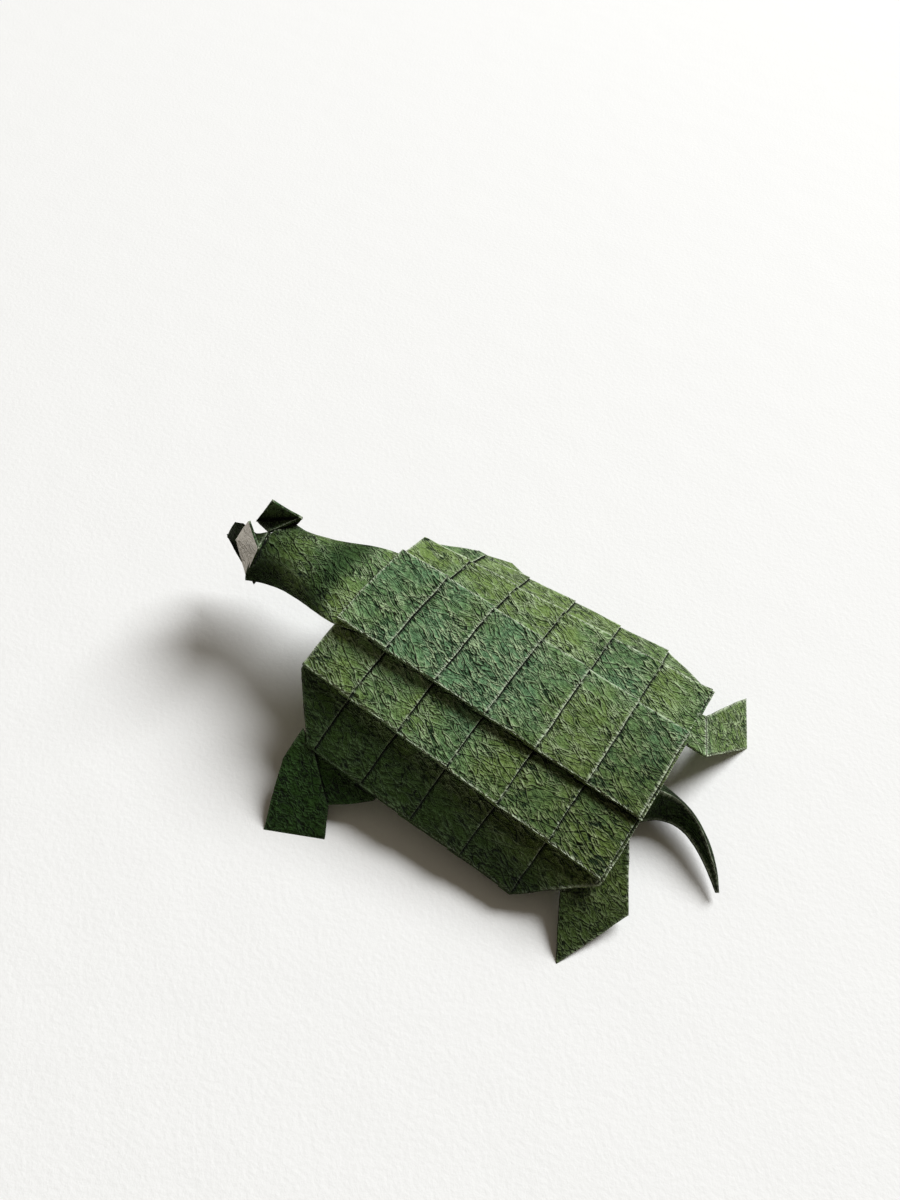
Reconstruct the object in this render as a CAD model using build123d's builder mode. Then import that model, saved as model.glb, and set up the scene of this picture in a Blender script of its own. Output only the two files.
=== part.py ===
from build123d import *

import os
from math import cos, radians, sin

# Origami turtle, folded from one sheet of crumpled green paper with a pale reverse side.
# Millimetres, +Z up, head towards -Y. The turtle's left side is +X. The origin lies on the ground
# under the middle of the turtle's outline.
# The sheet is modelled as the layers that lie pressed together in each panel.

# Paper
leaf = 0.7  # layers pressed together in a panel of the shell
edge_leaf = 0.35  # the same layers at the free rear edge of a row
flap_leaf = 0.6  # layers of a leg flap, the neck and the tail
head_leaf = 0.5  # layers of the small folds of the head

# Stance
nose_up = 10.5  # slope of the shell, degrees
ride_height = 18.0  # top of the shell above the ground at its middle
sole_depth = 0.25  # how much of each toe is pressed flat on the ground

# Shell: rows across it, bands along it
row_count = 6
row_pitch = 11.6
row_step = 0.6  # height of the fold at the rear edge of a row
row_tuck = 2.4  # reach of a row under the row before it
row_skew = -0.043  # the rows run slightly askew: shift along the shell over distance from its middle
rear_lip = 0.7  # doubled edge that shows behind the last row
corner_ahead = 2.0  # the hem's front corner ahead of the first row's rear edge
band_tuck = 2.5  # reach of a band under the band above it
band_gap = 0.8  # dark gap between the top field and the side band where it starts
band_ease = 1.5
top_half = 11.25  # half width of the top field
side_half_front = 21.2  # half width at the fold of the side bands
side_half_rear = 25.2
side_drop_front = 5.8  # depth of that fold below the top field
side_drop_rear = 2.0
hem_half_front = 31.1  # half width at the hem of the outer bands
hem_half_rear = 34.5
hem_drop_front = 14.3
hem_drop_rear = 9.0

# Neck: an arched tunnel that opens downwards
neck_length = 25.3
neck_hidden = 6.5  # reach of the neck under the shell
neck_gap = 0.35  # dark slit between the neck and the front edge of the shell
neck_over = 0.15  # the neck's root beyond the edge of the top field
neck_taper = 2.25  # narrowing of the neck under the shell
root_rise = 1.3
waist_half, waist_rise = 9.0, 5.0
waist_share = 0.45  # place of the waist along the neck
end_half, end_rise = 9.1, 5.9
end_left = 0.9  # the neck's end lies left of the middle
waist_lift, end_lift = 0.65, -0.25  # crown of the neck above the front edge of the shell

# Head: two squash-folded eye flaps, a flat jaw and a folded nose
eye_front_half, eye_front_ahead, eye_front_rise = 3.4, 7.2, 2.5
eye_top_half, eye_top_ahead, eye_top_rise = 3.8, 2.2, 5.5
eye_back_half, eye_back_rise = 6.0, 1.4
left_eye_behind, right_eye_behind = 1.6, 3.8  # the back corners behind the end of the neck
eye_low_inset, eye_low_rise = 0.6, 1.2
brow_ahead, brow_sink = 0.8, 0.4  # where the folds inside the eyes meet, at the end of the neck
jaw_reach = 13.7
jaw_drop = 3.2
jaw_tuck = 2.0  # reach of the jaw under the end of the neck
nose_half = 2.4
nose_rise = 6.0
nose_behind_tip = 5.8
nose_end_half, nose_end_rise = 1.7, 5.4  # where the nose starts to fall to the jaw's tip

# Front legs: a thigh layer under the outer band and a foot. Each place is outward of the hem, then along Y.
# The left foot is splayed and the right one is tucked in under the hem.
hip_front, hip_rear = -29.5, -8.0  # stations along the shell
thigh_gap = 1.3  # depth of the thigh below the hem
foot_gap = 0.5  # depth of the foot below the hem
thigh_front, thigh_low = (0.0, -26.3), (5.4, -19.4)
thigh_rear, thigh_end = (3.7, -16.2), (0.8, -11.7)
left_foot = [(-2.5, -30.6), (3.5, -31.2), (15.1, -27.7), (10.4, -16.6), (5.7, -19.1), (-0.1, -26.2)]
right_foot = [(0.2, -26.8), (1.2, -28.2), (4.4, -28.2), (3.2, -17.0), (1.6, -18.6), (0.0, -24.2)]

# Hind legs: the left one is a slanted flap, the right one is drawn further back
left_hip_outer, left_hip_inner = (18.9, 23.9), (12.6, 33.9)  # half width and station on the shell
left_toe, left_heel = (39.3, 32.4), (25.4, 39.9)
right_hip_outer, right_hip_inner = (17.5, 31.0), (9.5, 31.0)
right_ankle_outer, right_ankle_inner = (18.2, 36.0), (9.3, 39.4)
right_toe, right_heel = (34.9, 42.1), (22.3, 46.3)
right_ankle_sink = 2.45  # below the rear edge of the shell

# Tail: a roof-folded point that curls to the left. Each stop along it gives the ridge's place left of
# the middle, behind the shell and below its rear edge, then the half width and the height of the roof.
tail_root_station = 22.0
tail_root_half, tail_root_roof = 3.4, 1.2
tail_exit = (2.2, 1.9, 2.65, 4.6, 5.0)
tail_bend = (2.6, 7.3, 4.15, 2.6, 3.6)
tail_curl = (5.2, 11.8, 5.65, 1.7, 2.4)
tail_end = (7.9, 14.8, 7.05, 1.2, 1.5)
tail_tip = (12.2, 18.3, 9.35, 0.3, 0.3)

shell_front = -row_count * row_pitch / 2
shell_rear = row_count * row_pitch / 2
row_slope = row_step / row_pitch
deck = Plane(
    origin=(0, 0, ride_height),
    x_dir=(1, 0, 0),
    z_dir=(0, sin(radians(nose_up)), cos(radians(nose_up))),
)
front_edge = deck.from_local_coords(Vector(0, shell_front, -row_step - leaf))
rear_edge = deck.from_local_coords(Vector(0, shell_rear, 0))
LEFT, RIGHT = 1, -1


def station(y):
    """Plane across the shell at a distance y along its deck, turned with the skew of the rows."""
    return Plane(
        origin=deck.from_local_coords(Vector(0, y, 0)),
        x_dir=deck.x_dir + deck.y_dir * row_skew,
        z_dir=deck.x_dir * row_skew - deck.y_dir,
    )


def on_shell(x, y, z):
    """Point at width x and height z on the row line that crosses the middle at station y."""
    return deck.from_local_coords(Vector(x, y + row_skew * x, z))


def between(front, rear, y):
    """Size at station y of a shell line that runs straight from front to rear."""
    return front + (rear - front) * (y - shell_front) / (shell_rear - shell_front)


def side_fold(y):
    """Half width and height of the side band's outer fold."""
    return between(side_half_front, side_half_rear, y), -between(side_drop_front, side_drop_rear, y)


def hem(y):
    """Half width and height of the outer band's hem."""
    return between(hem_half_front, hem_half_rear, y), -between(hem_drop_front, hem_drop_rear, y)


def side_band_height(x, y):
    """Height of the side band's top, which starts under the edge of the top field."""
    side_x, side_z = side_fold(y)
    start_x, start_z = top_half - band_tuck, -leaf - band_gap
    return start_z + (side_z - start_z) * (x - start_x) / (side_x - start_x)


def shell_section(y, sink, layers):
    """Outline of the pleated shell at station y, lowered by sink: top, laps, then underside."""
    side_x, side_z = side_fold(y)
    hem_x, hem_z = hem(y)
    top_lap = top_half - band_tuck
    side_lap = side_x - band_tuck
    side_lap_z = side_band_height(side_lap, y) - leaf
    ease_x = side_lap - band_ease
    half = [
        (top_half, 0),
        (top_half, -layers),
        (top_lap, -leaf),
        (top_lap, -leaf - band_gap),
        (side_x, side_z),
        (side_x, side_z - layers),
        (side_lap, side_lap_z),
        (hem_x, hem_z),
        (hem_x, hem_z - layers),
        (side_lap, side_lap_z - layers),
        (ease_x, side_band_height(ease_x, y) - layers),
        (top_lap, -leaf - band_gap - layers),
        (top_lap - band_ease, -layers),
    ]
    right = [(-x, z) for x, z in reversed(half)]
    return [(x, z - sink) for x, z in half + right]


def row_sink(y):
    """Depth of a row's top below the deck at station y: nothing at its rear edge."""
    rows_passed = (y - shell_front) / row_pitch
    return row_step * (1 - rows_passed % 1)


def shell_wall(x, y):
    """Point inside the layers of the side band, at half width x and station y, on either side."""
    height = side_band_height(abs(x), y) - leaf / 2 - row_sink(y)
    return on_shell(x, y, height)


def outer_band_root(side, y):
    """Point inside the layers of the outer band where it starts under the side band."""
    x = side_fold(y)[0] - band_tuck
    height = side_band_height(x, y) - leaf - leaf / 2 - row_sink(y)
    return on_shell(side * x, y, height)


def hem_point(side, y):
    """Point on the hem at station y."""
    hem_x, hem_z = hem(y)
    return on_shell(side * hem_x, y, hem_z - row_sink(y))


def fold_plane(a, b, c):
    """Plane of a panel through three of its corners."""
    return Plane(origin=a, x_dir=b - a, z_dir=(b - a).cross(c - a))


def height_on(plane, x, y):
    """Point of a plane above the plan position x, y."""
    normal = plane.z_dir
    rise = (normal.X * (x - plane.origin.X) + normal.Y * (y - plane.origin.Y)) / normal.Z
    return Vector(x, y, plane.origin.Z - rise)


def panel(corners, thickness):
    """Flat panel of paper whose first three corners set its plane."""
    plane = fold_plane(*corners[:3])
    flat = [plane.to_local_coords(corner) for corner in corners]
    with BuildSketch(plane) as outline:
        with BuildLine():
            Polyline(*[(point.X, point.Y) for point in flat], close=True)
        make_face()
    extrude(outline.sketch, amount=thickness / 2, both=True)


def shell_loft(stops):
    """Ruled length of shell through stops of station, sink and layers."""
    sections = []
    for y, sink, layers in stops:
        with BuildSketch(station(y)) as section:
            with BuildLine():
                Polyline(*shell_section(y, sink, layers), close=True)
            make_face()
        sections.append(section.sketch)
    loft(sections, ruled=True)


# Shell: each row rises to its rear edge, and the next row starts under it
with BuildPart() as shell:
    for row in range(row_count):
        start = shell_front + row * row_pitch
        end = start + row_pitch
        tuck = row_tuck if row else 0
        shell_loft(
            [
                (start - tuck, row_step + row_slope * tuck, leaf),
                (end - row_tuck, row_slope * row_tuck, leaf),
                (end, 0, edge_leaf),
            ]
        )
    shell_loft(
        [
            (shell_rear - row_tuck, row_step, edge_leaf),
            (shell_rear + rear_lip, row_step, edge_leaf),
        ]
    )
    front_corner = shell_front + row_pitch - corner_ahead
    last_row = shell_rear - row_pitch
    rear_end = shell_rear + rear_lip
    clear = 2 * hem_half_rear
    with BuildSketch(deck):
        for side in (LEFT, RIGHT):
            trims = (
                (side_fold(shell_front)[0], shell_front, hem_half_front, front_corner, shell_front - row_pitch),
                (side_fold(rear_end)[0], rear_end, hem(last_row)[0], last_row, rear_end + row_pitch),
            )
            for inner_x, inner_y, outer_x, outer_y, away in trims:
                inner_y += row_skew * side * inner_x
                outer_y += row_skew * side * outer_x
                with BuildLine():
                    Polyline(
                        (side * inner_x, inner_y),
                        (side * outer_x, outer_y),
                        (side * clear, outer_y),
                        (side * clear, away),
                        (side * inner_x, away),
                        close=True,
                    )
                make_face()
    extrude(amount=ride_height, both=True, mode=Mode.SUBTRACT)

# Neck: flat under the shell, arched at the head
neck_end_y = front_edge.Y - neck_length
root_y = front_edge.Y + neck_hidden
root_crown = on_shell(0, shell_front + neck_hidden, -row_sink(shell_front + neck_hidden) - leaf / 2).Z
root_half = top_half + neck_over
waist_crown = front_edge.Z + waist_lift
end_crown = front_edge.Z + end_lift
neck_stops = [
    (root_y, 0, root_half - neck_taper, root_rise, root_crown),
    (front_edge.Y, 0, root_half, root_rise, front_edge.Z - neck_gap),
    (front_edge.Y - neck_length * waist_share, 0, waist_half, waist_rise, waist_crown),
    (neck_end_y, end_left, end_half, end_rise, end_crown),
]
with BuildPart() as neck:
    for y, left, half, rise, crown in neck_stops:
        with BuildSketch(Plane.XZ.offset(-y)):
            foot = crown - rise
            with BuildLine():
                outer = EllipticalCenterArc((left, foot), half, rise, arc_size=180)
                inner = EllipticalCenterArc((left, foot), half - flap_leaf, rise - flap_leaf, arc_size=180)
                Line(outer @ 0, inner @ 0)
                Line(outer @ 1, inner @ 1)
            make_face()
    loft()

# Head: eye flaps, jaw and nose
jaw_height = end_crown - end_rise
jaw_tip = Vector(0, neck_end_y - jaw_reach, jaw_height - jaw_drop)


def jaw_top(y):
    """Height of the jaw at a place along it."""
    return jaw_height - jaw_drop * (neck_end_y - y) / jaw_reach


with BuildPart() as head:
    brow = Vector(0, neck_end_y - brow_ahead, end_crown - brow_sink)
    for side, behind in ((LEFT, left_eye_behind), (RIGHT, right_eye_behind)):
        eye_front = Vector(side * eye_front_half, neck_end_y - eye_front_ahead, jaw_height + eye_front_rise)
        eye_top = Vector(side * eye_top_half, neck_end_y - eye_top_ahead, end_crown + eye_top_rise)
        eye_back = Vector(side * eye_back_half, neck_end_y + behind, end_crown + eye_back_rise)
        low_x = end_left + side * (end_half - eye_low_inset)
        eye_low = Vector(low_x, neck_end_y, jaw_height + eye_low_rise)
        panel([eye_top, eye_front, eye_back], head_leaf)
        panel([eye_front, eye_low, eye_back], head_leaf)
        panel([eye_front, eye_back, brow], head_leaf)
    jaw_corners = [
        Vector(end_left + side * (end_half - flap_leaf / 2), neck_end_y + jaw_tuck, jaw_height)
        for side in (LEFT, RIGHT)
    ]
    panel([jaw_tip, *jaw_corners], head_leaf)
    nose_y = jaw_tip.Y + nose_behind_tip
    for y, half, rise in (
        (neck_end_y - eye_top_ahead, nose_half, nose_rise / 2),
        (nose_y, nose_half, nose_rise),
        (nose_y - nose_half, nose_end_half, nose_end_rise),
        (jaw_tip.Y + head_leaf, head_leaf, head_leaf),
    ):
        with BuildSketch(Plane.XZ.offset(-y)):
            with BuildLine():
                Polyline((-half, jaw_top(y)), (0, jaw_top(y) + rise), (half, jaw_top(y)), close=True)
            make_face()
    loft(ruled=True)

# Front legs: the thigh lies under the outer band, and the foot reaches the ground
with BuildPart() as front_legs:
    for side, foot in ((LEFT, left_foot), (RIGHT, right_foot)):
        hem_mid = hem_point(side, (hip_front + hip_rear) / 2)
        hem_x = abs(hem_mid.X)
        thigh_plane = fold_plane(
            outer_band_root(side, hip_front),
            outer_band_root(side, hip_rear),
            hem_mid - Vector(0, 0, thigh_gap),
        )
        thigh = [outer_band_root(side, hip_rear), outer_band_root(side, hip_front)]
        for out, y in (thigh_front, thigh_low, thigh_rear, thigh_end):
            thigh.append(height_on(thigh_plane, side * (hem_x + out), y))
        panel(thigh, flap_leaf)
        toes = [Vector(side * (hem_x + out), y, -sole_depth) for out, y in foot[2:4]]
        foot_plane = fold_plane(*toes, hem_point(side, shell_front + row_pitch) - Vector(0, 0, foot_gap))
        panel([height_on(foot_plane, side * (hem_x + out), y) for out, y in foot], flap_leaf)

# Hind legs
with BuildPart() as hind_legs:
    hip_outer = shell_wall(*left_hip_outer)
    hip_inner = shell_wall(*left_hip_inner)
    toe = Vector(*left_toe, -sole_depth)
    heel = height_on(fold_plane(hip_outer, hip_inner, toe), *left_heel)
    panel([hip_outer, toe, heel, hip_inner], flap_leaf)

    hip_outer = shell_wall(-right_hip_outer[0], right_hip_outer[1])
    hip_inner = shell_wall(-right_hip_inner[0], right_hip_inner[1])
    ankle_height = rear_edge.Z - right_ankle_sink
    ankle_outer = Vector(-right_ankle_outer[0], right_ankle_outer[1], ankle_height)
    ankle_inner = Vector(-right_ankle_inner[0], right_ankle_inner[1], ankle_height)
    toe = Vector(-right_toe[0], right_toe[1], -sole_depth)
    heel = Vector(-right_heel[0], right_heel[1], -sole_depth)
    panel([hip_outer, hip_inner, ankle_inner, ankle_outer], flap_leaf)
    panel([ankle_outer, ankle_inner, heel, toe], flap_leaf)

# Tail: from the underside of the top field down, out and to the left
tail_stops = [
    (
        on_shell(0, tail_root_station, -row_step - leaf / 2),
        tail_root_half,
        tail_root_roof,
    )
]
for left, behind, below, half, roof in (tail_exit, tail_bend, tail_curl, tail_end, tail_tip):
    tail_stops.append((rear_edge + Vector(left, behind, -below), half, roof))
with BuildPart() as tail:
    with BuildLine():
        ridge = Spline(*[point for point, half, roof in tail_stops])
    for point, half, roof in tail_stops:
        along = ridge.tangent_at(ridge.param_at_point(point))
        across = Vector(0, 0, 1).cross(along)
        with BuildSketch(Plane(origin=point, x_dir=across, z_dir=along)):
            with BuildLine():
                Polyline(
                    (-half, -roof),
                    (0, 0),
                    (half, -roof),
                    (half, -roof - flap_leaf),
                    (0, -flap_leaf),
                    (-half, -roof - flap_leaf),
                    close=True,
                )
            make_face()
    loft()

# The whole sheet: toes pressed flat on the ground, and the outline centred on the origin
with BuildPart() as sheet:
    for flap in (shell, neck, head, front_legs, hind_legs, tail):
        add(flap.part)
    split(bisect_by=Plane.XY, keep=Keep.TOP)
outline = sheet.part.bounding_box()
with BuildPart() as folded_turtle:
    with Locations((-outline.center().X, -outline.center().Y, -outline.min.Z)):
        add(sheet.part)
folded_turtle.part.label = "folded_turtle"

os.makedirs("parts", exist_ok=True)
export_step(folded_turtle.part, "parts/folded_turtle.step")
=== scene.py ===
import heapq
import itertools
import math
import random

import bmesh
import bpy
from bpy.props import FloatProperty, FloatVectorProperty, IntProperty, PointerProperty
from mathutils import Matrix, Vector
from mathutils.bvhtree import BVHTree


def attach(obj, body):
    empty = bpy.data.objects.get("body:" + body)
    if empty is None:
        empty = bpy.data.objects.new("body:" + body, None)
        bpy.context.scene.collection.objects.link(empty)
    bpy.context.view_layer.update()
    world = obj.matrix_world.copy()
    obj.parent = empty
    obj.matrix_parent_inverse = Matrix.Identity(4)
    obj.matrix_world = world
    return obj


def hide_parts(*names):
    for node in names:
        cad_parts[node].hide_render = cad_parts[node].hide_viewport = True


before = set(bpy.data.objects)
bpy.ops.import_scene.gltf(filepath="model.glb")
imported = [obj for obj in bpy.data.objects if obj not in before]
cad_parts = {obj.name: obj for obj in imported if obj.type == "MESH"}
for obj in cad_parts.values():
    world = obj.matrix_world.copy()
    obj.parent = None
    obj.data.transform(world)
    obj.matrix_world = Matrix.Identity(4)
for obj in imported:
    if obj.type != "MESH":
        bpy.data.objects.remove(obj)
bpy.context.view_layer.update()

bl_info = {
    "name": "Origami turtle",
    "version": (1, 0, 0),
    "blender": (4, 5, 0),
    "location": "View3D > Sidebar > Turtle",
    "description": "A turtle folded from one sheet of crumpled green paper, on a pale table",
    "category": "Object",
}

NODE = "folded_turtle"

# Corners of the eye flaps in metres, left and right: top, front, back, low
EYES = (
    (
        (-0.00104, -0.05154, 0.02831),
        (-0.00144, -0.05654, 0.01941),
        (0.00116, -0.04774, 0.02421),
        (0.00456, -0.04934, 0.01811),
    ),
    (
        (-0.00864, -0.05154, 0.02831),
        (-0.00824, -0.05654, 0.01941),
        (-0.01084, -0.04554, 0.02421),
        (-0.01244, -0.04934, 0.01811),
    ),
)
EYE_LAYERS = 0.0005

# Plane of the shell's top field: its height over the origin and its fall towards the tail
DECK_HEIGHT = 0.0199
DECK_FALL = 0.185

# Below this height the sheet lies flat on the table
SOLE_HEIGHT = 0.002

# Turns of the wrinkles about the upright, in degrees
WRINKLE_TURN = 30
CROSS_TURN = -15

# Place and colour of the window light, and colours of the light from the room and the table
WINDOW_SIDE = (-0.72, 0.23, 0.655)
WINDOW_DISTANCE = 8.0
WINDOW_COLOUR = (0.97, 0.985, 1.0)
ROOM_WARMTH = (1.0, 0.87, 0.68)
TABLE_WARMTH = (0.96, 0.92, 0.85)


class PaperFinish(bpy.types.PropertyGroup):
    """Colours of the sheet, and of the shade and highlights painted on it."""

    leaf_green: FloatVectorProperty(
        name="Leaf green",
        description="Cool green of the sheet",
        subtype="COLOR",
        default=(0.132, 0.268, 0.128),
    )
    olive_green: FloatVectorProperty(
        name="Olive green",
        description="Warm green of the patches",
        subtype="COLOR",
        default=(0.17, 0.265, 0.066),
    )
    # Painted shade in the hollows of the wrinkles.
    hollow_shade_green: FloatVectorProperty(
        name="Pit green",
        description="Dark green in the hollows of the wrinkles",
        subtype="COLOR",
        default=(0.012, 0.04, 0.012),
    )
    # Painted shade: multiplied over the parts that lie in shade, the left hem and legs, the tail, the neck
    # and the head.
    painted_shade_tint: FloatVectorProperty(
        name="Deep tint",
        description="Darkens the left hem, the legs, the tail and the head",
        subtype="COLOR",
        default=(0.06, 0.15, 0.03),
    )
    # Painted shade: darkens the left rear corner towards olive.
    corner_shade_tint: FloatVectorProperty(
        name="Corner tint",
        description="Darkens the left rear corner towards olive",
        subtype="COLOR",
        default=(0.22, 0.2, 0.0),
    )
    # Pale along the wrinkles: partly the paper's own pale ridges, partly painted highlight.
    ridge_pale_and_highlight: FloatVectorProperty(
        name="Ridge green",
        description="Pale green along the wrinkles",
        subtype="COLOR",
        default=(0.5, 0.64, 0.36),
    )
    worn_fold: FloatVectorProperty(
        name="Worn fold",
        description="Pale fibres where a fold has lost its colour",
        subtype="COLOR",
        default=(0.62, 0.7, 0.52),
    )
    reverse_white: FloatVectorProperty(
        name="Reverse side",
        description="Off-white of the sheet's other side",
        subtype="COLOR",
        default=(0.95, 0.94, 0.91),
    )
    # Grey from the reverse side's grain, and painted shade in its crevices.
    reverse_grey: FloatVectorProperty(
        name="Reverse hollows",
        description="Grey in the hollows of the sheet's other side",
        subtype="COLOR",
        default=(0.4, 0.38, 0.35),
    )
    # Painted shade in the crevices between layers.
    gap_shade_green: FloatVectorProperty(
        name="Gap green",
        description="Nearly black green in the gaps between layers",
        subtype="COLOR",
        default=(0.004, 0.008, 0.003),
    )


class SheetCrumple(bpy.types.PropertyGroup):
    """How the sheet is wrinkled and folded."""

    facet: FloatProperty(
        name="Facet size",
        description="Longest edge of the fine mesh",
        default=0.00098,
        unit="LENGTH",
    )
    depth: FloatProperty(
        name="Crumple depth",
        description="How far the wrinkles move the sheet",
        default=0.00022,
        unit="LENGTH",
    )
    size: FloatProperty(
        name="Crumple size",
        description="Distance from one soft dent of a panel to the next",
        default=0.009,
        unit="LENGTH",
    )
    fold_angle: FloatProperty(
        name="Fold angle",
        description="Turn between faces that makes a crisp fold",
        default=math.radians(18),
        subtype="ANGLE",
    )
    # Reach of the painted shade under a layer above.
    crevice: FloatProperty(
        name="Crevice reach",
        description="How near a layer above darkens the layer below",
        default=0.0018,
        unit="LENGTH",
    )
    seed: IntProperty(name="Seed", description="Picks the pattern of the wrinkles", default=7)


class TurtleStage(bpy.types.PropertyGroup):
    """Table, light and camera."""

    table_colour: FloatVectorProperty(
        name="Table", description="Colour of the table", subtype="COLOR", default=(0.97, 0.97, 0.96)
    )
    window_power: FloatProperty(
        name="Window light", description="Power of the soft window", default=885.0, unit="POWER"
    )
    window_size: FloatProperty(
        name="Window size", description="Width of the soft window", default=4.6, unit="LENGTH"
    )
    room_light: FloatProperty(
        name="Room light", description="Strength of the light from all sides", default=0.13
    )
    lens: FloatProperty(name="Lens", description="Focal length in millimetres", default=28.5)
    azimuth: FloatProperty(
        name="Azimuth",
        description="Camera's turn round the turtle",
        default=math.radians(117.36),
        subtype="ANGLE",
    )
    elevation: FloatProperty(
        name="Elevation",
        description="Camera's height above the horizon",
        default=math.radians(51.43),
        subtype="ANGLE",
    )
    roll: FloatProperty(
        name="Roll", description="Camera's tilt", default=math.radians(-4.975), subtype="ANGLE"
    )
    distance: FloatProperty(
        name="Distance", description="Camera to its aim", default=0.20948, unit="LENGTH"
    )
    aim: FloatVectorProperty(
        name="Aim",
        description="Point at the middle of the picture",
        subtype="TRANSLATION",
        default=(-0.0194, -0.01294, 0.01),
    )


class Value:
    """A number socket in a Python expression: each operation adds a Math node."""

    def __init__(self, graph, socket):
        self.graph = graph
        self.socket = socket

    def math(self, operation, *others, clamp=False):
        sockets = dict(enumerate((self,) + others))
        made = self.graph.node("ShaderNodeMath", {"operation": operation, "use_clamp": clamp}, sockets)
        return Value(self.graph, made.outputs[0])

    def __add__(self, other):
        return self.math("ADD", other)

    __radd__ = __add__

    def __sub__(self, other):
        return self.math("SUBTRACT", other)

    def __rsub__(self, other):
        return (self * -1) + other

    def __mul__(self, other):
        return self.math("MULTIPLY", other)

    __rmul__ = __mul__

    def __pow__(self, power):
        return self.math("POWER", power)

    def __abs__(self):
        return self.math("ABSOLUTE")

    def clamped(self):
        """The value kept between 0 and 1."""
        return self.math("ADD", 0.0, clamp=True)


class Graph:
    """Adds nodes to a tree."""

    def __init__(self, tree):
        self.tree = tree

    def node(self, kind, settings=None, sockets=None):
        """One node: its settings first, then a value or a link for each named or numbered socket."""
        made = self.tree.nodes.new(kind)
        for name, value in (settings or {}).items():
            setattr(made, name, value)
        for name, value in (sockets or {}).items():
            socket = made.inputs[name]
            if isinstance(value, Value):
                value = value.socket
            if isinstance(value, bpy.types.NodeSocket):
                self.tree.links.new(value, socket)
            else:
                socket.default_value = value
        return made

    def number(self, kind, output, settings=None, sockets=None):
        """A node's output as a number for expressions."""
        return Value(self, self.node(kind, settings, sockets).outputs[output])

    def noise(self, place, per_metre, detail=2.0, roughness=0.5):
        """Smooth noise between 0 and 1."""
        sockets = {"Vector": place, "Scale": per_metre, "Detail": detail, "Roughness": roughness}
        return self.number("ShaderNodeTexNoise", "Fac", None, sockets)

    def line(self, field, level, sharpness):
        """Thin lines where a field has one level: 1 on a line, 0 away from it."""
        return (1 - abs(field - level) * sharpness).clamped()

    def smooth(self, value, low, high):
        """0 below the low value, 1 above the high one, and eased between them."""
        sockets = {"Value": value, "From Min": low, "From Max": high}
        return self.number("ShaderNodeMapRange", 0, {"interpolation_type": "SMOOTHSTEP"}, sockets)

    def mix(self, factor, first, second, blend="MIX"):
        """Colour between two colours, or a colour tinted by another."""
        sockets = {0: factor, 6: (*first, 1) if isinstance(first, tuple) else first}
        sockets[7] = (*second, 1) if isinstance(second, tuple) else second
        return self.node("ShaderNodeMix", {"data_type": "RGBA", "blend_type": blend}, sockets).outputs[2]

    def streaks(self, place, angle, length):
        """Place turned about the upright and shortened along Y, so that what is drawn on it runs long."""
        sockets = {"Vector": place, "Angle": math.radians(angle)}
        turned = self.node("ShaderNodeVectorRotate", {"rotation_type": "Z_AXIS"}, sockets).outputs[0]
        sockets = {0: turned, 1: (1.0, 1 / length, 1.0)}
        return self.node("ShaderNodeVectorMath", {"operation": "MULTIPLY"}, sockets).outputs[0]

    def attribute(self, name):
        """A number that the mesh carries."""
        return self.number("ShaderNodeAttribute", "Fac", {"attribute_name": name})


def new_material(name):
    """Empty material with a Principled shader, and its graph."""
    material = bpy.data.materials.new(name)
    material.use_nodes = True
    material.node_tree.nodes.clear()
    graph = Graph(material.node_tree)
    shader = graph.node("ShaderNodeBsdfPrincipled")
    graph.node("ShaderNodeOutputMaterial", None, {"Surface": shader.outputs[0]})
    return material, graph, shader


def wrinkle_lines(graph, place):
    """Crumpled paper's grain, pale wrinkles, dark cracks beside them, and long creases; the paper paints
    highlight along the wrinkles and shade along the cracks.
    """
    drift = graph.node("ShaderNodeTexNoise", None, {"Vector": place, "Scale": 320.0, "Detail": 2.0})
    bent = graph.node(
        "ShaderNodeVectorMath",
        {"operation": "MULTIPLY_ADD"},
        {0: drift.outputs["Color"], 1: (0.001, 0.001, 0.001), 2: place},
    ).outputs[0]
    grain = graph.noise(graph.streaks(bent, WRINKLE_TURN, 1.6), 1500.0, 3.0, 0.65)
    main = graph.noise(graph.streaks(bent, WRINKLE_TURN, 5.5), 640.0)
    cross = graph.noise(graph.streaks(bent, CROSS_TURN, 4.5), 540.0)
    rough = graph.smooth(graph.noise(place, 170.0), 0.36, 0.62) * 0.6 + 0.4
    wrinkles = (graph.line(main, 0.5, 21.0) + graph.line(cross, 0.5, 24.0) * 0.6) * rough
    cracks = (graph.line(main, 0.43, 21.0) + graph.line(cross, 0.44, 24.0) * 0.6) * rough
    creases = graph.line(graph.noise(bent, 90.0, 3.0), 0.5, 26.0)
    return grain, wrinkles, cracks, creases


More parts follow.
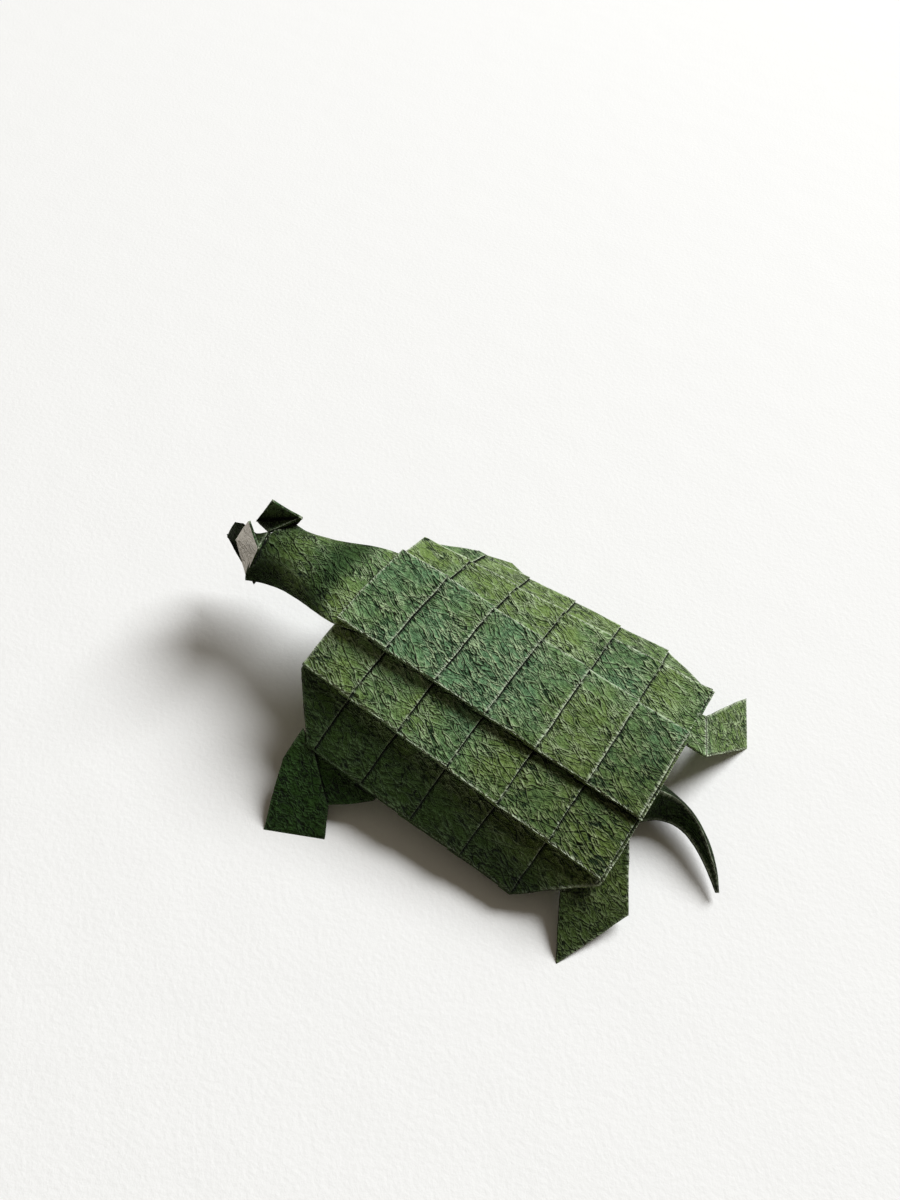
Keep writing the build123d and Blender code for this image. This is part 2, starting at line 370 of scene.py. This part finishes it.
def painted_shade_masks(graph, place):
    """How far each region of the sheet is warmer, or darker with painted shade, from 0 to 1."""
    axes = graph.node("ShaderNodeSeparateXYZ", None, {0: place}).outputs
    across, along, height = [Value(graph, axes[name]) for name in "XYZ"]
    below = DECK_HEIGHT - along * DECK_FALL - height
    left = graph.smooth(across, -0.02, -0.003)
    rear = graph.smooth(along, 0.036, 0.042)
    # Painted shade on the low parts of the left side, which face away from the window.
    low_left_shade = (graph.smooth(below, 0.004, 0.009) * 0.85 + graph.smooth(below, 0.011, 0.017) * 0.12) * left
    behind = graph.smooth(along, 0.042, 0.046) * graph.smooth(below, 0.001, 0.003)
    ahead = graph.smooth(along, -0.027, -0.031) * graph.smooth(below, 0.0012, 0.0026)
    return {
        "flank": graph.smooth(below, 0.001, 0.006),
        # Painted shade towards the left rear corner.
        "corner": graph.smooth(across * 0.6 + along * 0.8, 0.004, 0.04) * left * 0.55,
        "low_left_shade": low_left_shade,
        # Painted shadow of the shell's front edge on the neck, darkest next to the shell, and painted
        # shade over the rest of the neck.
        "neck": ahead * (graph.smooth(along, -0.0395, -0.033) * 0.6 + 0.25),
        # Painted shade, darker towards the head.
        "head": graph.smooth(along, -0.038, -0.047) * 0.6,
        # Painted shade over the left hem and legs, a little less at the rear.
        "hem": low_left_shade * (1 - rear * 0.3),
        # Painted shade on the tail.
        "tail": behind * graph.smooth(abs(across - 0.002), 0.016, 0.01) * 0.93,
    }


def paper_material(finish):
    """Crumpled paper: mottled green, pale along wrinkles, partly as painted highlight, and along worn
    folds, off-white on the reverse; painted shade in the cracks beside the wrinkles, in the crevices
    between layers, and over the left hem and legs, the tail, the neck, the head and the left rear corner.
    """
    material, graph, shader = new_material("crumpled_green_paper")
    place = graph.node("ShaderNodeTexCoord").outputs["Object"]
    tint = graph.attribute("panel_tint")
    wear = graph.attribute("fold_wear")
    crevice = graph.attribute("crevice")
    reverse = graph.attribute("reverse_side")
    grain, wrinkles, cracks, creases = wrinkle_lines(graph, place)
    shade = painted_shade_masks(graph, place)

    # Warmer with the random panel tone, on the flank, and in the painted shade of the left rear corner.
    warmth = tint * 0.35 + shade["flank"] * 0.5 + shade["corner"] * 1.2
    patches = (graph.noise(place, 75.0, 3.0, 0.6) * 3.2 - 1.2 + warmth).clamped()
    green = graph.mix(patches, tuple(finish.leaf_green), tuple(finish.olive_green))
    # Painted shade along the cracks beside the wrinkles, with the dark flecks of the grain.
    hollow_shade_and_grain = (cracks + (0.46 - grain) * 3.0 + 0.06 - tint * 0.14).clamped()
    green = graph.mix(hollow_shade_and_grain, green, tuple(finish.hollow_shade_green))
    # Pale along the wrinkles, partly painted highlight, with the pale flecks of the grain and the long
    # creases.
    pale = (wrinkles * 0.8 + (grain - 0.5) * 1.2 + creases ** 2 * 0.2 + tint * 0.05).clamped()
    green = graph.mix(pale, green, tuple(finish.ridge_pale_and_highlight))
    # Painted shade over the left rear corner.
    green = graph.mix(shade["corner"], green, tuple(finish.corner_shade_tint), "MULTIPLY")
    # Painted shade: the neck, the head, the left hem and legs, and the tail are darkened.
    for region in ("neck", "head", "hem", "tail"):
        green = graph.mix(shade[region], green, tuple(finish.painted_shade_tint), "MULTIPLY")
    # The rubbed colour of worn folds is left off where the left low parts carry painted shade.
    broken = graph.noise(place, 700.0) * 0.7 + 0.5
    rubbed = (wear ** 1.3 * broken * (1 - shade["low_left_shade"]) * graph.attribute("upward")).clamped()
    green = graph.mix(rubbed, green, tuple(finish.worn_fold))
    # Painted shade where other layers close in over the paper, kept off the worn folds.
    gap_shade = ((crevice * 4.5 - 0.35) * (1 - wear)).clamped()
    green = graph.mix(gap_shade, green, tuple(finish.gap_shade_green))
    # Grey on the reverse side from its grain, and painted shade where layers close in over it.
    grain_and_shade = (grain * 0.2 + crevice * 0.3).clamped()
    white = graph.mix(grain_and_shade, tuple(finish.reverse_white), tuple(finish.reverse_grey))

    relief = wrinkles * 0.9 - cracks + grain * 1.1 + creases * 0.5
    relief = relief * (1 - wear * 0.5) * (1 - reverse * 0.8)
    bump = graph.node("ShaderNodeBump", None, {"Strength": 1.0, "Distance": 0.001, "Height": relief})
    for name, value in {
        "Base Color": graph.mix(reverse, green, white),
        "Roughness": (0.92 - wrinkles * 0.15 - wear * 0.05).socket,
        "Normal": bump.outputs[0],
    }.items():
        graph.tree.links.new(value, shader.inputs[name])
    shader.inputs["Specular IOR Level"].default_value = 0.22
    return material


def table_material(colour):
    """Pale table with a faint fibre grain, a little warmer in the light that it throws back."""
    material, graph, shader = new_material("pale_table")
    place = graph.node("ShaderNodeTexCoord").outputs["Object"]
    grain = graph.noise(place, 900.0, 4.0, 0.6) + graph.noise(place, 60.0, 2.0) * 2.0
    bump = graph.node("ShaderNodeBump", None, {"Strength": 0.2, "Distance": 0.0004, "Height": grain})
    seen = graph.node("ShaderNodeLightPath").outputs["Is Camera Ray"]
    graph.tree.links.new(graph.mix(seen, TABLE_WARMTH, colour), shader.inputs["Base Color"])
    graph.tree.links.new(bump.outputs[0], shader.inputs["Normal"])
    shader.inputs["Roughness"].default_value = 0.9
    shader.inputs["Specular IOR Level"].default_value = 0.2
    return material


def crumple_tree():
    """Geometry Nodes tree that dents the panels of a sheet and leaves its soles flat."""
    tree = bpy.data.node_groups.new("crumple_sheet", "GeometryNodeTree")
    for name, kind in (
        ("Sheet", "NodeSocketGeometry"),
        ("Depth", "NodeSocketFloat"),
        ("Dents per metre", "NodeSocketFloat"),
        ("Seed", "NodeSocketFloat"),
        ("Sole height", "NodeSocketFloat"),
        ("Paper", "NodeSocketMaterial"),
    ):
        tree.interface.new_socket(name, in_out="INPUT", socket_type=kind)
    tree.interface.new_socket("Sheet", in_out="OUTPUT", socket_type="NodeSocketGeometry")
    graph = Graph(tree)
    given = graph.node("NodeGroupInput").outputs
    place = graph.node("GeometryNodeInputPosition").outputs[0]
    dents = graph.node(
        "ShaderNodeTexNoise",
        {"noise_dimensions": "4D"},
        {"Vector": place, "W": given["Seed"], "Scale": given["Dents per metre"], "Detail": 3.0},
    ).outputs["Color"]
    centred = graph.node("ShaderNodeVectorMath", {"operation": "SUBTRACT"}, {0: dents, 1: (0.5, 0.5, 0.5)})
    height = graph.number("ShaderNodeSeparateXYZ", "Z", None, {0: place})
    above = graph.number(
        "ShaderNodeMapRange",
        0,
        {"interpolation_type": "SMOOTHSTEP"},
        {"Value": height, "From Max": given["Sole height"]},
    )
    reach = above * Value(graph, given["Depth"]) * 4.0
    offset = graph.node(
        "ShaderNodeVectorMath", {"operation": "SCALE"}, {0: centred.outputs[0], "Scale": reach}
    )
    moved = graph.node(
        "GeometryNodeSetPosition", None, {"Geometry": given["Sheet"], "Offset": offset.outputs[0]}
    )
    real = graph.node("GeometryNodeRealizeInstances", None, {0: moved.outputs[0]})
    dressed = graph.node(
        "GeometryNodeSetMaterial", None, {"Geometry": real.outputs[0], "Material": given["Paper"]}
    )
    graph.node("NodeGroupOutput", None, {0: dressed.outputs[0]})
    return tree


def split_long_edges(sheet, longest):
    """Halves the longest edge, and the triangles on it, until no edge is over the limit."""
    count = itertools.count()
    waiting = []

    def wait(edges):
        for edge in edges:
            length = edge.calc_length()
            if length > (longest if edge.smooth else longest / 2):
                heapq.heappush(waiting, (-length, next(count), edge))

    wait(sheet.edges)
    while waiting:
        edge = heapq.heappop(waiting)[2]
        start, end = edge.verts
        facing = [vert for face in edge.link_faces for vert in face.verts if vert not in (start, end)]
        half, middle = bmesh.utils.edge_split(edge, start, 0.5)
        made = [edge, half]
        for face in list(middle.link_faces):
            made.append(connect(middle, facing, face))
        wait(made)


def connect(middle, facing, face):
    """Cuts a face from the new middle of its edge to the corner facing it."""
    corner = next(vert for vert in face.verts if vert in facing)
    before = set(middle.link_edges)
    bmesh.utils.face_split(face, middle, corner)
    return next(edge for edge in middle.link_edges if edge not in before)


def mark_panels(sheet, fold_angle, seed):
    """Gives each panel between folds its own tint, kept on its faces."""
    chance = random.Random(seed)
    tint = sheet.faces.layers.float.new("panel_tint")
    seen = set()
    for first in sheet.faces:
        if first in seen:
            continue
        shade = chance.uniform(-1, 1)
        waiting = [first]
        seen.add(first)
        while waiting:
            face = waiting.pop()
            face[tint] = shade
            for edge in face.edges:
                if edge.calc_face_angle(math.pi) > fold_angle:
                    continue
                for other in edge.link_faces:
                    if other not in seen:
                        seen.add(other)
                        waiting.append(other)


def mark_reverse_side(sheet):
    """Marks the outer sides of the eye flaps, which show the sheet's other side."""
    reverse = sheet.faces.layers.float.new("reverse_side")
    for outward, corners in zip((1, -1), EYES):
        top, front, back, low = [Vector(corner) for corner in corners]
        for a, b, c in ((top, front, back), (front, low, back)):
            normal = (b - a).cross(c - a).normalized()
            normal *= math.copysign(1, normal.x * outward)
            outside = a + normal * EYE_LAYERS / 2
            for face in sheet.faces:
                if face.normal.dot(normal) < 0.998:
                    continue
                if all(abs((vert.co - outside).dot(normal)) < 5e-5 for vert in face.verts):
                    face[reverse] = 1.0


def mark_crevices(sheet, reach):
    """Marks how far other layers close in over each place, nearer than the reach; the paper is painted
    darker there as shade.
    """
    shade = sheet.verts.layers.float.new("crevice")
    tree = BVHTree.FromBMesh(sheet)
    fan = []
    for ring, lean in ((4, 0.3), (7, 0.75), (7, 1.15)):
        for step in range(ring):
            turn = 2 * math.pi * (step + lean) / ring
            fan.append((math.cos(turn) * math.sin(lean), math.sin(turn) * math.sin(lean), math.cos(lean)))
    for vert in sheet.verts:
        side = vert.normal.orthogonal().normalized()
        other = vert.normal.cross(side)
        start = vert.co + vert.normal * 2e-5
        hits = 0.0
        for a, b, c in fan:
            distance = tree.ray_cast(start, side * a + other * b + vert.normal * c, reach)[3]
            if distance is not None:
                hits += 1 - distance / reach
        vert[shade] = hits / len(fan)


def mark_wear(sheet):
    """Marks the outward folds, where the colour is rubbed off."""
    wear = sheet.verts.layers.float.new("fold_wear")
    for edge in sheet.edges:
        if not edge.smooth and edge.is_convex:
            for vert in edge.verts:
                vert[wear] = 1.0


def mark_upward(sheet):
    """Marks how far each face looks up, since the rubbed colour shows on tops and not on cut edges."""
    upward = sheet.faces.layers.float.new("upward")
    for face in sheet.faces:
        rise = min(max((face.normal.z - 0.3) / 0.45, 0), 1)
        face[upward] = rise * rise * (3 - 2 * rise) * 0.9 + 0.1


def plain_mesh(piece, name):
    """The piece's evaluated mesh, with its modifiers taken off."""
    evaluated = piece.evaluated_get(bpy.context.evaluated_depsgraph_get())
    mesh = bpy.data.meshes.new_from_object(evaluated)
    mesh.name = name
    piece.modifiers.clear()
    piece.data = mesh


class OBJECT_OT_turtle_sheet(bpy.types.Operator):
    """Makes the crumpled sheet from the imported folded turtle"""

    bl_idname = "object.turtle_sheet"
    bl_label = "Folded sheet"

    def execute(self, context):
        crumple = context.scene.sheet_crumple
        sheet = bmesh.new()
        sheet.from_mesh(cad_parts[NODE].data)
        bmesh.ops.remove_doubles(sheet, verts=sheet.verts, dist=2e-6)
        sheet.normal_update()
        for edge in sheet.edges:
            edge.smooth = edge.calc_face_angle(math.pi) < crumple.fold_angle
        for face in sheet.faces:
            face.smooth = True
        mark_panels(sheet, crumple.fold_angle, crumple.seed)
        mark_reverse_side(sheet)
        split_long_edges(sheet, crumple.facet)
        sheet.normal_update()
        mark_wear(sheet)
        mark_upward(sheet)
        mark_crevices(sheet, crumple.crevice)
        mesh = bpy.data.meshes.new("paper_turtle")
        sheet.to_mesh(mesh)
        sheet.free()
        piece = bpy.data.objects.new("paper_turtle", mesh)
        context.scene.collection.objects.link(piece)

        modifier = piece.modifiers.new("crumple", "NODES")
        modifier.node_group = crumple_tree()
        values = {
            "Depth": crumple.depth,
            "Dents per metre": 1 / crumple.size,
            "Seed": float(crumple.seed),
            "Sole height": SOLE_HEIGHT,
            "Paper": paper_material(context.scene.paper_finish),
        }
        for item in modifier.node_group.interface.items_tree:
            if item.in_out == "INPUT" and item.name in values:
                modifier[item.identifier] = values[item.name]
        plain_mesh(piece, "paper_turtle")
        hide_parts(NODE)
        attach(piece, "root")
        return {"FINISHED"}


def lay_table(scene, stage):
    """Wide flat table under the turtle."""
    table = bmesh.new()
    bmesh.ops.create_grid(table, x_segments=1, y_segments=1, size=2.0)
    mesh = bpy.data.meshes.new("table")
    table.to_mesh(mesh)
    table.free()
    floor = bpy.data.objects.new("table", mesh)
    floor.data.materials.append(table_material(tuple(stage.table_colour)))
    scene.collection.objects.link(floor)


def light_room(scene, stage):
    """One large soft window, and weak warm light from all sides."""
    window = bpy.data.lights.new("window", "AREA")
    window.energy = stage.window_power
    window.shape = "DISK"
    window.size = stage.window_size
    window.color = WINDOW_COLOUR
    lamp = bpy.data.objects.new("window", window)
    towards = Vector(WINDOW_SIDE).normalized()
    lamp.location = towards * WINDOW_DISTANCE
    lamp.rotation_euler = towards.to_track_quat("Z", "Y").to_euler()
    scene.collection.objects.link(lamp)

    world = bpy.data.worlds.new("room")
    world.use_nodes = True
    graph = Graph(world.node_tree)
    seen = graph.node("ShaderNodeLightPath").outputs["Is Camera Ray"]
    warm = tuple(stage.room_light * part for part in ROOM_WARMTH)
    backdrop = graph.mix(seen, warm, tuple(stage.table_colour))
    graph.tree.links.new(backdrop, world.node_tree.nodes["Background"].inputs["Color"])
    scene.world = world


def place_camera(scene, stage):
    """Camera turned about its aim, at the angle from which the turtle is seen."""
    camera = bpy.data.cameras.new("camera")
    camera.lens = stage.lens
    camera.sensor_width = 36.0
    camera.clip_start = 0.005
    holder = bpy.data.objects.new("camera", camera)
    across = math.cos(stage.elevation)
    back = Vector(
        (math.sin(stage.azimuth) * across, -math.cos(stage.azimuth) * across, math.sin(stage.elevation))
    )
    right = Vector((math.cos(stage.azimuth), math.sin(stage.azimuth), 0.0))
    turn = Matrix((right, back.cross(right), back)).transposed().to_4x4()
    holder.matrix_world = (
        Matrix.Translation(Vector(stage.aim) + back * stage.distance)
        @ turn
        @ Matrix.Rotation(-stage.roll, 4, "Z")
    )
    scene.collection.objects.link(holder)
    scene.camera = holder


class OBJECT_OT_turtle_stage(bpy.types.Operator):
    """Sets the pale table, the soft window light and the camera"""

    bl_idname = "object.turtle_stage"
    bl_label = "Table, light and camera"

    def execute(self, context):
        scene = context.scene
        lay_table(scene, scene.turtle_stage)
        light_room(scene, scene.turtle_stage)
        place_camera(scene, scene.turtle_stage)
        scene.view_settings.view_transform = "Standard"
        return {"FINISHED"}


class VIEW3D_PT_turtle(bpy.types.Panel):
    """Lists the turtle's settings, with buttons that make the sheet and the stage"""

    bl_label = "Origami turtle"
    bl_space_type = "VIEW_3D"
    bl_region_type = "UI"
    bl_category = "Turtle"

    def draw(self, context):
        for name in ("sheet_crumple", "paper_finish", "turtle_stage"):
            group = getattr(context.scene, name)
            for key in group.bl_rna.properties.keys():
                if key not in ("rna_type", "name"):
                    self.layout.prop(group, key)
        self.layout.operator("object.turtle_sheet")
        self.layout.operator("object.turtle_stage")


CLASSES = (
    PaperFinish,
    SheetCrumple,
    TurtleStage,
    OBJECT_OT_turtle_sheet,
    OBJECT_OT_turtle_stage,
    VIEW3D_PT_turtle,
)


def register():
    for cls in CLASSES:
        bpy.utils.register_class(cls)
    bpy.types.Scene.paper_finish = PointerProperty(type=PaperFinish)
    bpy.types.Scene.sheet_crumple = PointerProperty(type=SheetCrumple)
    bpy.types.Scene.turtle_stage = PointerProperty(type=TurtleStage)


def unregister():
    del bpy.types.Scene.turtle_stage
    del bpy.types.Scene.sheet_crumple
    del bpy.types.Scene.paper_finish
    for cls in reversed(CLASSES):
        bpy.utils.unregister_class(cls)


def main():
    register()
    bpy.ops.object.turtle_sheet()
    bpy.ops.object.turtle_stage()
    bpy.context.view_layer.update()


if __name__ == "__main__":
    main()
